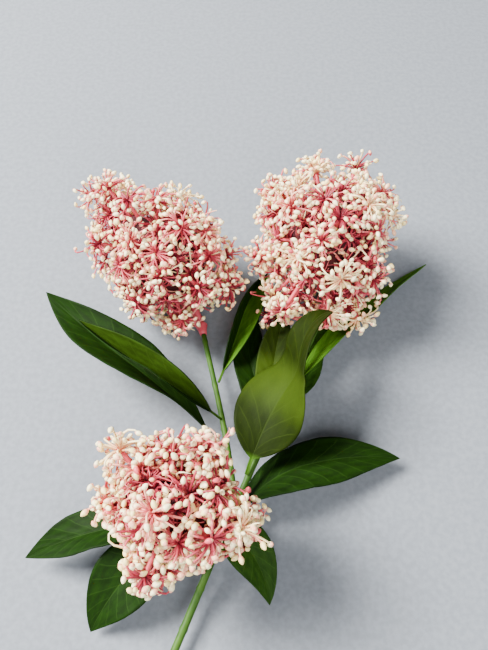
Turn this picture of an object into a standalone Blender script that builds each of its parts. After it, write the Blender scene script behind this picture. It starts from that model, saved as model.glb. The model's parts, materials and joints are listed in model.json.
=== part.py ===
"""An artificial flower spray, cut and lying down: a wired stem that forks to three round heads of
pink filaments tipped with ivory buds, with twelve long cloth leaves. Metres, +Z up, floor at zero."""

import math

import bmesh
import bpy
import numpy as np
from mathutils import Matrix, Vector

# Gap that neighbouring pieces keep
CLEAR = 0.0003

# Stem radii: at the cut end, under the right head, and along a branch
STEM_CUT, STEM_TOP = 0.0026, 0.0020
BRANCH_FOOT, BRANCH_TOP = 0.0021, 0.0018

# Where the stem lies: its cut end, two points on the way, and the way up to the front head
CUT_END = Vector((-0.0960, -0.1280, 0.0026))
LOW_BEND = Vector((-0.0390, 0.0040, 0.0080))
FORK = Vector((-0.0025, 0.0874, 0.0190))
LEFT_BEND = Vector((-0.0135, 0.1330, 0.0200))
FRONT_BEND = Vector((-0.0335, 0.0660, 0.0270))
LEFT_FROM, FRONT_FROM = 0.62, 0.50
ROUTE_STEPS = 5

# A stem of this roundness has eight sides, whose flats lie nearer to its middle than its corners
STEM_ROUNDNESS = 2
STEM_FLATS = math.cos(math.pi / (2 * STEM_ROUNDNESS + 4))

# A head: a turned cup, stalks from it to the umbels, a core they run into, and filaments from the umbels.
# The cup's shoulder and the height that stalks leave it at are shares of its length
CUP_LENGTH, CUP_FOOT, CUP_RIM = 0.0090, 0.0026, 0.0046
CUP_SHOULDER, STALKS_FROM = 0.8, 0.7
UMBELS, FILAMENTS = 22, 5
STAR = 0.0190
STALK_FOOT, STALK_TOP = 0.0014, 0.0011
FILAMENT_SIDES, STALK_SIDES, CUP_SIDES = 4, 4, 10
CORE_SHARE, CORE_LEVELS = 0.62, 2
THREAD, BUD_LENGTH, BUD = 0.0009, 0.0085, 0.0030
BUD_BELLY = 0.45
UMBEL_SPREAD, FILAMENT_SPREAD = math.radians(152), math.radians(104)
SWERVE = 0.07
SHORTEST, LONGEST = 1.00, 1.18
GOLDEN = math.pi * (3 - math.sqrt(5))

# A filament is left out if its outer part, watched at these shares, comes nearer than this to a
# leaf or stem
KEEP_OFF = 0.0045
WATCHED = np.linspace(0.35, 1, 8)

# A head's outline is measured in a plane that leans back by this from upright, from its right side
# over its top
LEAN = math.radians(61)

# Each head: its middle, where its cup starts, how far its buds reach out of that plane, and in it:
# the round reach in millimetres, then lobes and hollows, each with its direction, height and half width
HEADS = {
    "bloom_left": dict(
        middle=(-0.0579, 0.2458, 0.0507), cup=(-0.0292, 0.2040, 0.0105), deep=0.050, seed=3, round=57,
        lobes=((137, 20, 19), (98, -8, 9), (48, -10, 12), (322, 12, 42), (222, -11, 22))),
    "bloom_right": dict(
        middle=(0.0581, 0.2537, 0.0540), cup=(0.0541, 0.2095, 0.0247), deep=0.050, seed=8, round=50,
        lobes=((68, 22, 50), (142, 12, 20), (197, 11, 12), (232, 28, 11), (286, 23, 28))),
    "bloom_front": dict(
        middle=(-0.0376, 0.0665, 0.0720), cup=(-0.0381, 0.0797, 0.0410), deep=0.042, seed=5, round=24,
        lobes=((52, 28, 42), (132, 29, 35), (178, 20, 16), (248, 29, 24), (298, 14, 16), (346, 36, 20))),
}

# Leaves: where each leaves its stem, its length and width, how far its halves fold up, and its
# heading (turned from +Y towards +X), climb and roll at foot, middle and tip, in degrees. The broad
# leaf twists sharply near its middle, so it has angles at places of its own
LEAF_THICK = 0.0014
PETIOLE, PETIOLE_HALF = 0.08, 0.0012
WIDEST, FULLNESS = 0.47, 0.95
PLACES = (0, 0.5, 1)
LEAF_STATIONS, LEAF_ACROSS = 10, 4
LEAVES = {
    "leaf_left_long": dict(
        stem="left", at=0.3, length=0.164, width=0.040, fold=27,
        heading=(-46, -54, -45), climb=(14, 5, -1), roll=(-68, -26, 25)),
    "leaf_left_folded": dict(
        stem="left", at=0.44, length=0.117, width=0.033, fold=66,
        heading=(-71, -61, -50), climb=(54, 14, 1), roll=(14, -10, 2)),
    "leaf_left_upright": dict(
        stem="left", at=0.66, length=0.102, width=0.033, fold=61,
        heading=(20, 15, 34), climb=(1, -3, -12), roll=(-12, -23, -31)),
    "leaf_back": dict(
        stem="main", at=0.69, length=0.134, width=0.026, fold=16,
        heading=(21, -15, 22), climb=(-3, -6, -11), roll=(-3, -4, 1)),
    "leaf_front_broad": dict(
        stem="main", at=0.67, length=0.131, width=0.056, fold=9, places=(0, 0.50, 0.60, 1), widest=0.38,
        heading=(18, 38, 7, 60), climb=(14, 22, 42, -51), roll=(-29, 53, 74, 24)),
    "leaf_middle": dict(
        stem="main", at=0.74, length=0.103, width=0.024, fold=14,
        heading=(14, 9, 16), climb=(3, 0, -14), roll=(4, 1, 0)),
    "leaf_right_high": dict(
        stem="main", at=0.84, length=0.162, width=0.020, fold=19,
        heading=(31, 47, 52), climb=(-9, -6, 0), roll=(13, 36, 45)),
    "leaf_right_under": dict(
        stem="main", at=0.81, length=0.096, width=0.023, fold=6,
        heading=(43, 8, 75), climb=(-27, -7, 8), roll=(-6, -5, 0)),
    "leaf_right_low": dict(
        stem="main", at=0.60, length=0.120, width=0.037, fold=1, widest=0.40,
        heading=(32, 78, 92), climb=(-4, 5, -16), roll=(57, 21, -18)),
    "leaf_low_left": dict(
        stem="front", at=0.88, length=0.098, width=0.030, fold=21,
        heading=(-105, -100, -112), climb=(-8, -14, -21), roll=(-10, -20, -4)),
    "leaf_low_foot": dict(
        stem="front", at=0.7, length=0.081, width=0.037, fold=12,
        heading=(-129, -136, -150), climb=(-5, -16, -36), roll=(2, 4, 4)),
    "leaf_low_right": dict(
        stem="front", at=0.78, length=0.078, width=0.028, fold=12,
        heading=(90, 135, 175), climb=(-21, -19, -17), roll=(1, 5, 6)),
}


def clear_scene():
    for old in list(bpy.data.objects):
        bpy.data.objects.remove(old, do_unlink=True)


def collection(name, helpers=False):
    made = bpy.data.collections.new(name)
    bpy.context.scene.collection.children.link(made)
    made.hide_render = helpers
    return made


def finish(name, colour, roughness):
    made = bpy.data.materials.new(name)
    made.use_nodes = True
    shader = made.node_tree.nodes["Principled BSDF"]
    shader.inputs["Base Color"].default_value = (*colour, 1)
    shader.inputs["Roughness"].default_value = roughness
    shader.inputs["Metallic"].default_value = 0.0
    return made


def add(name, data, home, material=None):
    made = bpy.data.objects.new(name, data)
    home.objects.link(made)
    if material:
        data.materials.append(material)
    return made


def evaluated_mesh(source):
    """The object's mesh as its modifiers leave it, moved to where the object stands."""
    bpy.context.view_layer.update()
    mesh = bpy.data.meshes.new_from_object(source.evaluated_get(bpy.context.evaluated_depsgraph_get()))
    mesh.transform(source.matrix_world)
    return mesh


def welded(mesh, within=1e-6):
    shape = bmesh.new()
    shape.from_mesh(mesh)
    bmesh.ops.remove_doubles(shape, verts=shape.verts, dist=within)
    shape.to_mesh(mesh)
    shape.free()
    return mesh


def smooth_route(points, steps):
    """A Catmull-Rom curve through the points, with this many steps between two of them."""
    ends = [2 * points[0] - points[1], *points, 2 * points[-1] - points[-2]]
    route = []
    for before, start, end, after in zip(ends[:-3], ends[1:-2], ends[2:-1], ends[3:]):
        for step in range(steps):
            t = step / steps
            bend = (2 * before - 5 * start + 4 * end - after) * t * t
            turn = (3 * start - before - 3 * end + after) * t**3
            route.append((2 * start + (end - before) * t + bend + turn) / 2)
    return route + [points[-1].copy()]


def along(route, share):
    """The point at this share of the route's length, and the direction there."""
    lengths = [(b - a).length for a, b in zip(route, route[1:])]
    left = share * sum(lengths)
    for start, end, length in zip(route, route[1:], lengths):
        if left <= length:
            break
        left -= length
    return start.lerp(end, min(left / length, 1)), (end - start).normalized()


def stem_curve(name, route, foot, top, home, material=None, grown=0.0):
    """A tube along the route that tapers evenly, with flat ends."""
    data = bpy.data.curves.new(name, "CURVE")
    data.dimensions = "3D"
    data.bevel_depth = 1.0
    data.bevel_resolution = STEM_ROUNDNESS
    data.use_fill_caps = True
    line = data.splines.new("POLY")
    line.points.add(len(route) - 1)
    for index, place in enumerate(route):
        line.points[index].co = (*place, 1)
        line.points[index].radius = foot + (top - foot) * index / (len(route) - 1) + grown
    return add(name, data, home, material)


def mesh_of_curve(source, home):
    """The curve object made a mesh object of the same name and place, its caps welded."""
    name, material = source.name, source.active_material
    mesh = welded(evaluated_mesh(source))
    bpy.data.objects.remove(source, do_unlink=True)
    mesh.materials.clear()
    return add(name, mesh, home, material)


def cut_clear(piece, cutter):
    """Cuts the piece back from the stem that it grows on."""
    cut = piece.modifiers.new("clear_of_stem", "BOOLEAN")
    cut.operation = "DIFFERENCE"
    cut.solver = "EXACT"
    cut.object = cutter


def turned(name, profile, steps):
    """A mesh turned from (radius, height) points, listed down its outer side."""
    mesh = bpy.data.meshes.new(name)
    mesh.from_pydata([(r, 0, z) for r, z in profile], [(i, i + 1) for i in range(len(profile) - 1)], [])
    blank = add(name, mesh, bpy.context.scene.collection)
    screw = blank.modifiers.new("turn", "SCREW")
    screw.steps = screw.render_steps = steps
    screw.use_merge_vertices = True
    screw.merge_threshold = 1e-6
    made = evaluated_mesh(blank)
    bpy.data.objects.remove(blank, do_unlink=True)
    return made


def pointing(start, end, girth=1.0):
    """The matrix that lays a shape of unit height from start to end."""
    reach = Vector(end) - Vector(start)
    turn = reach.to_track_quat("Z", "Y").to_matrix().to_4x4()
    return Matrix.Translation(start) @ turn @ Matrix.Diagonal((girth, girth, reach.length, 1))


def outer_shell(mesh):
    """Keeps the mesh's largest connected shell, so that hollows shut in between pieces are solid."""
    shape = bmesh.new()
    shape.from_mesh(mesh)
    unseen = set(shape.verts)
    shells = []
    while unseen:
        shell, edge_of_shell = set(), [unseen.pop()]
        while edge_of_shell:
            corner = edge_of_shell.pop()
            shell.add(corner)
            near = {edge.other_vert(corner) for edge in corner.link_edges} & unseen
            unseen -= near
            edge_of_shell += near
        shells.append(shell)
    largest = max(shells, key=len)
    bmesh.ops.delete(shape, geom=[corner for corner in shape.verts if corner not in largest], context="VERTS")
    shape.to_mesh(mesh)
    shape.free()
    return mesh


def fused(name, base, pieces, home, material):
    """One solid of a base mesh and (mesh, matrix) pieces, by one union."""
    loose = collection(name + "_pieces", helpers=True)
    for index, (mesh, matrix) in enumerate(pieces):
        piece = add(f"{name}_piece_{index}", mesh, loose)
        piece.matrix_world = matrix
    whole = add(name, base, home)
    union = whole.modifiers.new("fuse", "BOOLEAN")
    union.operation = "UNION"
    union.operand_type = "COLLECTION"
    union.collection = loose
    union.solver = "MANIFOLD"
    mesh = outer_shell(evaluated_mesh(whole))
    bpy.data.objects.remove(whole, do_unlink=True)
    for piece in list(loose.objects):
        bpy.data.objects.remove(piece, do_unlink=True)
    bpy.data.collections.remove(loose)
    mesh.materials.clear()
    return add(name, mesh, home, material)


# Leaves
def leaf_surface(leaf):
    """Points of the blade, one row across it for each station. The midrib starts at zero and turns
    and climbs from place to place. Each half stands out sideways by the half width, lifted
    by the fold, and the whole rolls about the midrib."""
    share = np.linspace(0, 1, LEAF_STATIONS + 1)
    step = leaf["length"] / LEAF_STATIONS

    def between(angles, t):
        return np.radians(np.interp(t, leaf.get("places", PLACES), angles))

    def direction(t):
        heading, climb = between(leaf["heading"], t), between(leaf["climb"], t)
        level = np.cos(climb)
        return np.stack([np.sin(heading) * level, np.cos(heading) * level, np.sin(climb)], axis=1)

    middle = (share[1:] + share[:-1]) / 2
    midrib = np.vstack([np.zeros(3), np.cumsum(direction(middle) * step, axis=0)])
    heading = between(leaf["heading"], share)
    level_side = np.stack([np.cos(heading), -np.sin(heading), 0 * heading], axis=1)
    level_up = np.cross(level_side, direction(share))
    roll = between(leaf["roll"], share)[:, None]
    side = level_side * np.cos(roll) + level_up * np.sin(roll)
    up = level_up * np.cos(roll) - level_side * np.sin(roll)

    blade = np.clip((share - PETIOLE) / (1 - PETIOLE), 0, 1)
    widest = leaf.get("widest", WIDEST)
    half = leaf["width"] / 2 * np.sin(np.pi * blade ** (math.log(0.5) / math.log(widest))) ** FULLNESS
    half = np.where(share < 0.5, np.maximum(half, PETIOLE_HALF), half)[:, None, None]
    across = np.linspace(-1, 1, LEAF_ACROSS + 1)[None, :, None]
    fold = math.radians(leaf["fold"])
    spread = side[:, None] * across * math.cos(fold) + up[:, None] * np.abs(across) * math.sin(fold)
    return midrib[:, None] + half * spread


def beside_stem(surface, share, route, girth):
    """The surface moved to its place, its foot beside the stem and the nearest corner just clear."""
    place, stem_way = along(route, share)
    place, stem_way = np.array(place), np.array(stem_way)
    middle = surface.shape[1] // 2
    way = surface[1, middle] - surface[0, middle]
    way /= np.linalg.norm(way)
    lean = way @ stem_way
    aside = way - stem_way * lean
    aside /= np.linalg.norm(aside)
    radius = (girth[0] + (girth[1] - girth[0]) * share) * STEM_FLATS
    corner = -(surface[0] @ aside).min() + LEAF_THICK / 2 * abs(lean)
    return surface + place + aside * (radius + CLEAR + corner)


def make_leaf(name, surface, home, material):
    """A sheet over the rows of points, closed to one point at the tip, thickened both ways."""
    rows, columns = surface.shape[:2]
    points = np.vstack([surface[:-1].reshape(-1, 3), surface[-1, columns // 2][None]])
    tip = len(points) - 1
    faces = []
    for column in range(columns - 1):
        for row in range(rows - 2):
            corner = row * columns + column
            faces.append((corner, corner + 1, corner + 1 + columns, corner + columns))
        last = (rows - 2) * columns + column
        faces.append((last, last + 1, tip))
    mesh = bpy.data.meshes.new(name)
    mesh.from_pydata(points.tolist(), [], faces)
    leaf = add(name, mesh, home, material)
    sheet = leaf.modifiers.new("thickness", "SOLIDIFY")
    sheet.thickness = LEAF_THICK
    sheet.offset = 0
    mesh.shade_smooth()
    return leaf


# Heads
def dome_directions(axis, count, spread, phase, rng):
    """Directions spread evenly by the golden angle over a dome about the axis, each a little off."""
    place = (np.arange(count) + 0.5) / count
    level = 1 - place * (1 - math.cos(spread))
    turn = np.arange(count) * GOLDEN + phase
    flat = np.sqrt(1 - level**2)
    local = np.stack([flat * np.cos(turn), flat * np.sin(turn), level], axis=1)
    local = local + rng.normal(0, SWERVE, local.shape)
    across = np.cross(axis, np.eye(3)[np.abs(axis).argmin()])
    across /= np.linalg.norm(across)
    found = local @ np.array([across, np.cross(axis, across), axis])
    return found / np.linalg.norm(found, axis=1, keepdims=True)


def head_reach(head, directions):
    """How far the buds reach in these directions: in the outline's plane the round reach with its
    lobes, and the depth out of it, joined as in an ellipse."""
    up = directions @ np.array((0, math.sin(LEAN), math.cos(LEAN)))
    out = directions @ np.array((0, -math.cos(LEAN), math.sin(LEAN)))
    turn = np.degrees(np.arctan2(up, directions[:, 0]))
    outline = head["round"] + 0 * turn
    for at, height, half_width in head["lobes"]:
        off = (turn - at + 180) % 360 - 180
        outline = outline + height * np.exp(-((off / half_width) ** 2))
    return 1 / np.sqrt((directions[:, 0] ** 2 + up**2) / (outline / 1000) ** 2 + (out / head["deep"]) ** 2)


def grow_head(head):
    """Umbel centres and (umbel, root, tip) of each filament, measured from the head's middle."""
    rng = np.random.default_rng(head["seed"])
    axis = np.array(head["middle"]) - np.array(head["cup"])
    axis /= np.linalg.norm(axis)
    outward = dome_directions(axis, UMBELS, UMBEL_SPREAD, rng.uniform(0, math.tau), rng)
    centres = outward * (head_reach(head, outward) - STAR)[:, None]
    filaments = []
    for centre, direction in zip(centres, outward):
        ways = dome_directions(direction, FILAMENTS, FILAMENT_SPREAD, rng.uniform(0, math.tau), rng)
        tips = centre + ways * STAR * rng.uniform(SHORTEST, LONGEST, len(ways))[:, None]
        distance = np.linalg.norm(tips, axis=1)
        most = head_reach(head, tips / distance[:, None])
        tips *= np.minimum(1, most / distance)[:, None]
        filaments += [(centre, tip) for tip in tips]
    return centres, filaments


def core_mesh(head):
    """A ball whose corners lie at a share of the head's reach."""
    ball = bmesh.new()
    bmesh.ops.create_icosphere(ball, subdivisions=CORE_LEVELS, radius=1.0)
    for corner in ball.verts:
        corner.co *= CORE_SHARE * head_reach(head, np.array([corner.co.normalized()]))[0]
    mesh = bpy.data.meshes.new("core")
    ball.to_mesh(mesh)
    ball.free()
    return mesh


def free_of(start, end, obstacles):
    """Whether the way from start to end keeps off every obstacle's point."""
    way = start + (end - start) * WATCHED[:, None]
    return np.linalg.norm(way[:, None] - obstacles[None], axis=2).min() > KEEP_OFF


def make_head(name, head, cup_foot, axis, obstacles, home, material):
    """The cup at the stem's end, with its stalks, core, umbels and budded filaments fused on."""
    centres, filaments = grow_head(head)
    middle = Vector(head["middle"])
    belly = 1 - BUD_BELLY * BUD_LENGTH / STAR
    neck = 1 - BUD_LENGTH / STAR
    filament = turned("filament", [(0, 1), (BUD, belly), (THREAD, neck), (THREAD, 0), (0, 0)], FILAMENT_SIDES)
    stalk = turned("stalk", [(0, 1), (STALK_TOP, 1), (STALK_FOOT, 0), (0, 0)], STALK_SIDES)
    cup = turned("cup", [(0, 1), (CUP_RIM, 1), (CUP_RIM, CUP_SHOULDER), (CUP_FOOT, 0), (0, 0)], CUP_SIDES)
    rim = cup_foot + axis * CUP_LENGTH
    cup.transform(pointing(cup_foot, rim))
    stalks_from = cup_foot + axis * CUP_LENGTH * STALKS_FROM
    pieces = [(core_mesh(head), Matrix.Translation(middle))]
    for centre in centres:
        place = middle + Vector(centre)
        pieces.append((stalk, pointing(stalks_from, place)))
    for root, tip in filaments:
        start, end = middle + Vector(root), middle + Vector(tip)
        if free_of(np.array(start), np.array(end), obstacles):
            pieces.append((filament, pointing(start, end)))
    return fused(name, cup, pieces, home, material)


def centre_on_floor(home):
    """Moves the whole part by one empty, so that its lowest point is on the floor under the origin."""
    holder = bpy.data.objects.new("spray_origin", None)
    home.objects.link(holder)
    bpy.context.view_layer.update()
    graph = bpy.context.evaluated_depsgraph_get()
    corners = []
    for piece in home.objects:
        if piece.type != "EMPTY":
            shape = piece.evaluated_get(graph)
            corners += [shape.matrix_world @ Vector(corner) for corner in shape.bound_box]
            piece.parent = holder
    low = Vector([min(corner[axis] for corner in corners) for axis in range(3)])
    high = Vector([max(corner[axis] for corner in corners) for axis in range(3)])
    holder.location = (-(low.x + high.x) / 2, -(low.y + high.y) / 2, -low.z)
    return holder


def main():
    clear_scene()
    spray = collection("flower_spray")
    cutters = collection("cutters", helpers=True)
    stem_green = finish("stem_green", (0.10, 0.19, 0.03), 0.5)
    leaf_green = finish("leaf_green", (0.035, 0.12, 0.02), 0.6)
    petal_pink = finish("filament_pink", (0.72, 0.30, 0.30), 0.6)

    # Each stem ends under the cup of its head
    cups = {name: Vector(head["cup"]) for name, head in HEADS.items()}
    main_route = smooth_route([CUT_END, LOW_BEND, FORK, cups["bloom_right"]], ROUTE_STEPS)
    left_foot = along(main_route, LEFT_FROM)[0]
    front_foot = along(main_route, FRONT_FROM)[0]
    routes = {
        "main": main_route,
        "left": smooth_route([left_foot, LEFT_BEND, cups["bloom_left"]], ROUTE_STEPS),
        "front": smooth_route([front_foot, FRONT_BEND, cups["bloom_front"]], ROUTE_STEPS),
    }
    girths = {
        "main": (STEM_CUT, STEM_TOP),
        "left": (BRANCH_FOOT, BRANCH_TOP),
        "front": (BRANCH_FOOT, BRANCH_TOP),
    }

    # Stems, and a fatter copy of the main one that cuts the branches back by the gap
    fatter = stem_curve("around_main", routes["main"], *girths["main"], cutters, grown=CLEAR)
    cutter = mesh_of_curve(fatter, cutters)
    cutter.hide_render = True
    cutter.display_type = "WIRE"
    stem_curve("stem_main", routes["main"], *girths["main"], spray, stem_green)
    for stem in ("left", "front"):
        branch = stem_curve("branch_" + stem, routes[stem], *girths[stem], spray, stem_green)
        cut_clear(mesh_of_curve(branch, spray), cutter)

    # Leaves
    obstacles = [np.array([point for route in routes.values() for point in route])]
    for name, leaf in LEAVES.items():
        surface = beside_stem(leaf_surface(leaf), leaf["at"], routes[leaf["stem"]], girths[leaf["stem"]])
        obstacles.append(surface.reshape(-1, 3))
        make_leaf(name, surface, spray, leaf_green)
    obstacles = np.vstack(obstacles)

    # Heads
    ends = {"bloom_right": "main", "bloom_left": "left", "bloom_front": "front"}
    for name, head in HEADS.items():
        axis = along(routes[ends[name]], 1.0)[1]
        make_head(name, head, cups[name] + axis * CLEAR, axis, obstacles, spray, petal_pink)
    cutter.parent = centre_on_floor(spray)


main()
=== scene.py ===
"""Looks of the artificial flower spray that lies on the floor: fine umbels of budded filaments,
veined cloth leaves and moulded stems, on the CAD part's layout of stems, leaves and heads."""

import json
import math

import bpy
import numpy as np
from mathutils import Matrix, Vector


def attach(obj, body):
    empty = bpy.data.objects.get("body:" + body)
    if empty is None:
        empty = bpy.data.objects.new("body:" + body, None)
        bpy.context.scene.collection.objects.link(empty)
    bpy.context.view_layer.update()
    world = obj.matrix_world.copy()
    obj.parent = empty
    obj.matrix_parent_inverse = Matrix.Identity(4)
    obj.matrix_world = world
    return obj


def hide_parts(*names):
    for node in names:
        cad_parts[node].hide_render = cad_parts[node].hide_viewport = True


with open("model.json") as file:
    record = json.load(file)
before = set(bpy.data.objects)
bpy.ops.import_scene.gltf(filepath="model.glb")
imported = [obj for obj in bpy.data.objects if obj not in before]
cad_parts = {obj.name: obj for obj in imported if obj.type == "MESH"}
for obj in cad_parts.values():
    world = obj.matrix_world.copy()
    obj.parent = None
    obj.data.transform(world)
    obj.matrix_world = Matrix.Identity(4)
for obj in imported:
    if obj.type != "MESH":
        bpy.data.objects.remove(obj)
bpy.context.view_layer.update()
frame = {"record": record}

# The CAD's own layout, in metres, and the gap between neighbours
CLEAR = 0.0003
STEM_CUT, STEM_TOP = 0.0026, 0.0020
BRANCH_FOOT, BRANCH_TOP = 0.0021, 0.0018
CUT_END = Vector((-0.0960, -0.1280, 0.0026))
LOW_BEND = Vector((-0.0390, 0.0040, 0.0080))
FORK = Vector((-0.0025, 0.0874, 0.0190))
LEFT_BEND = Vector((-0.0135, 0.1330, 0.0200))
FRONT_BEND = Vector((-0.0335, 0.0660, 0.0270))
LEFT_FROM, FRONT_FROM = 0.62, 0.50
STEM_FLATS = math.cos(math.pi / 8)

# Each stem's node, the head it ends in and its radii at foot and top
STEMS = {
    "main": ("stem_main", "bloom_right", (STEM_CUT, STEM_TOP)),
    "left": ("branch_left", "bloom_left", (BRANCH_FOOT, BRANCH_TOP)),
    "front": ("branch_front", "bloom_front", (BRANCH_FOOT, BRANCH_TOP)),
}

# Steps between two points of a stem's route: the CAD's, and the finer ones of main stem and branches
CAD_STEPS, MAIN_STEPS, BRANCH_STEPS = 5, 60, 50

# Heads as in the CAD. In a plane that leans back, each has a round reach and lobes, in millimetres,
# with their directions and half widths in degrees. The seeds are for the finer growth
CUP_LENGTH, CUP_FOOT = 0.0090, 0.0026
GOLDEN = math.pi * (3 - math.sqrt(5))
LEAN = math.radians(61)
HEADS = {
    "bloom_left": dict(
        middle=(-0.0579, 0.2458, 0.0507), cup=(-0.0292, 0.2040, 0.0105), deep=0.050, seed=49, round=57,
        lobes=((137, 20, 19), (98, -8, 9), (48, -10, 12), (322, 12, 42), (222, -11, 22))),
    "bloom_right": dict(
        middle=(0.0581, 0.2537, 0.0540), cup=(0.0541, 0.2095, 0.0247), deep=0.050, seed=21, round=50,
        lobes=((68, 22, 50), (142, 12, 20), (197, 11, 12), (232, 28, 11), (286, 23, 28))),
    "bloom_front": dict(
        middle=(-0.0376, 0.0665, 0.0720), cup=(-0.0381, 0.0797, 0.0410), deep=0.042, seed=32, round=24,
        lobes=((52, 28, 42), (132, 29, 35), (178, 20, 16), (248, 29, 24), (298, 14, 16), (346, 36, 20))),
}

# Leaves as in the CAD: fold, then heading, climb and roll at foot, middle and tip or at the leaf's
# own places, in degrees
LEAF_THICK, CAD_LEAF_THICK = 0.0007, 0.0014
PETIOLE, PETIOLE_HALF = 0.08, 0.0012
WIDEST, FULLNESS, FOLD_ROUND = 0.47, 0.95, 0.04
PLACES = (0, 0.5, 1)
CAD_STATIONS, CAD_ACROSS = 10, 4
LEAVES = {
    "leaf_left_long": dict(
        stem="left", at=0.3, length=0.164, width=0.040, fold=27,
        heading=(-46, -54, -45), climb=(14, 5, -1), roll=(-68, -26, 25)),
    "leaf_left_folded": dict(
        stem="left", at=0.44, length=0.117, width=0.033, fold=66,
        heading=(-71, -61, -50), climb=(54, 14, 1), roll=(14, -10, 2)),
    "leaf_left_upright": dict(
        stem="left", at=0.66, length=0.102, width=0.033, fold=61,
        heading=(20, 15, 34), climb=(1, -3, -12), roll=(-12, -23, -31)),
    "leaf_back": dict(
        stem="main", at=0.69, length=0.134, width=0.026, fold=16,
        heading=(21, -15, 22), climb=(-3, -6, -11), roll=(-3, -4, 1)),
    "leaf_front_broad": dict(
        stem="main", at=0.67, length=0.131, width=0.056, fold=9, places=(0, 0.50, 0.60, 1), widest=0.38,
        heading=(18, 38, 7, 60), climb=(14, 22, 42, -51), roll=(-29, 53, 74, 24)),
    "leaf_middle": dict(
        stem="main", at=0.74, length=0.103, width=0.024, fold=14,
        heading=(14, 9, 16), climb=(3, 0, -14), roll=(4, 1, 0)),
    "leaf_right_high": dict(
        stem="main", at=0.84, length=0.162, width=0.020, fold=19,
        heading=(31, 47, 52), climb=(-9, -6, 0), roll=(13, 36, 45)),
    "leaf_right_under": dict(
        stem="main", at=0.81, length=0.096, width=0.023, fold=6,
        heading=(43, 8, 75), climb=(-27, -7, 8), roll=(-6, -5, 0)),
    "leaf_right_low": dict(
        stem="main", at=0.60, length=0.120, width=0.037, fold=1, widest=0.40,
        heading=(32, 78, 92), climb=(-4, 5, -16), roll=(57, 21, -18)),
    "leaf_low_left": dict(
        stem="front", at=0.88, length=0.098, width=0.030, fold=21,
        heading=(-105, -100, -112), climb=(-8, -14, -21), roll=(-10, -20, -4)),
    "leaf_low_foot": dict(
        stem="front", at=0.7, length=0.081, width=0.037, fold=12,
        heading=(-129, -136, -150), climb=(-5, -16, -36), roll=(2, 4, 4)),
    "leaf_low_right": dict(
        stem="front", at=0.78, length=0.078, width=0.028, fold=12,
        heading=(90, 135, 175), climb=(-21, -19, -17), roll=(1, 5, 6)),
}

# The finer blade's grid, its side veins, which lean and bend to the tip, and how far it is pleated
# between them, waves at the margin and is grooved along the midrib
LEAF_STATIONS, LEAF_COLUMNS = 76, 20
VEINS, VEIN_LEAN, VEIN_BEND = 10, 0.30, 0.12
PLEAT, WAVE, GROOVE = 0.00010, 0.0009, 0.0005
WAVES_ALONG, WAVE_BETWEEN_LEAVES, WAVE_BETWEEN_SIDES = 2.3, 0.37, 1.3
GROOVE_HALF = 0.05

# What the upper and the under side of a leaf are made of where it isn't "top" and "under", and the
# leaves that show the second one on the right half of the upper side too. The middle green on
# leaf_right_under and leaf_low_right is painted light, a lighter copy of the upper side for leaves
# that lie in the heads' shade
LEAF_SIDES = {
    "leaf_front_broad": ("under", "top"), "leaf_middle": ("under", "top"),
    "leaf_left_folded": ("top", "inner"), "leaf_left_upright": ("top", "lighter_green"),
    "leaf_right_high": ("lighter_green", "under"), "leaf_right_under": ("painted_lit_middle", "under"),
    "leaf_low_right": ("painted_lit_middle", "under"),
}
# On these two the right half of the upper side takes the second material. On leaf_left_upright that is a
# lighter green, painted light on a half turned from the lamp; on leaf_left_folded it is the underside
# olive, which also stands for the light on that half
HALF_TURNED = ("leaf_left_upright", "leaf_left_folded")

# Joints of the moulded stems: their distance, swell and length, the first one's place on the main
# stem and how much later it comes on each branch. The tube is a little slimmer than the CAD's
JOINT_EVERY, JOINT_SWELL, JOINT_LENGTH = 0.031, 0.16, 0.0012
FIRST_JOINT, LATER_JOINT = 0.012, 0.009
STEM_SLIM, STEM_SIDES = 0.97, 16

# A branch starts where its middle is this far from the main stem's
BRANCH_OFF = 0.0030

# Umbels all over each head, on each lobe, and on an inner row of bare threads, and their places as
# shares of the reach. Every third one over the head is set back in a hollow
UMBELS = {"bloom_left": 58, "bloom_right": 50, "bloom_front": 34}
UMBEL_SPREAD = math.radians(170)
OUTER, HOLLOW, HOLLOW_EVERY = (0.96, 1.06), (0.74, 0.88), 3
LOBE_TURNS, LOBE_ROWS = np.array((-0.5, 0, 0.5)), (0.98, 0.80, 0.98)
INNER_UMBELS, INNER_ROW = 28, 0.76

# Filaments of an umbel: their number, length, spread and scatter, the shares of their dome that can
# stay open about its axis, and how far their tips may stand, as shares of the head's reach
FILAMENTS, STAR = 30, 0.0150
FILAMENT_SPREAD, SWERVE = math.radians(112), 0.09
SHORTEST, LONGEST = 0.50, 1.15
OPEN = (0, 0.08, 0.30)
TIP_REACH = (0.95, 1.06)

# A filament's arch, as shares of its length: how far its curve's handles stand off its root and its
# tip, how much the second leans outwards, and its sway, of which the root has a part
ARCH_ROOT, ARCH_TIP, ARCH_LEAN = 0.40, 0.22, 0.18
SWAY, SWAY_AT_ROOT = 0.24, 0.3

# Threads: radii at root and tip, the share of bare ones on umbels and in hollows, how much longer a
# bare one on an umbel is, and the share with another umbel's colours
THREAD_STEPS, THREAD_SIDES = 6, 4
THREAD_ROOT, THREAD_TIP, THREAD_EASE = 0.00078, 0.00050, 0.7
BARE_ROOT, BARE_TAPER = 1.05, 0.75
BARE_SHARE, BARE_IN_HOLLOW, SPIKE = 0.02, 0.30, 1.35
STRAYS = 0.12

# Buds: length, greatest radius, sizes, how far they tilt off their thread, and their profile, in
# which the thread ends at BUD_SEAT
BUD_LENGTH, BUD, BUD_SIDES = 0.0043, 0.00158, 6
BUD_SCALE = {"bloom_left": 0.92, "bloom_right": 0.98, "bloom_front": 0.98}
BUD_SIZES, BUD_TILT, BUD_SEAT = (0.84, 1.12), 0.14, 0.85
BUD_ALONG = np.array([-0.10, 0.12, 0.38, 0.68, 0.90, 1.0])
BUD_ROUND = np.array([0.26, 0.76, 1.0, 0.84, 0.46, 0.10])

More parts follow.
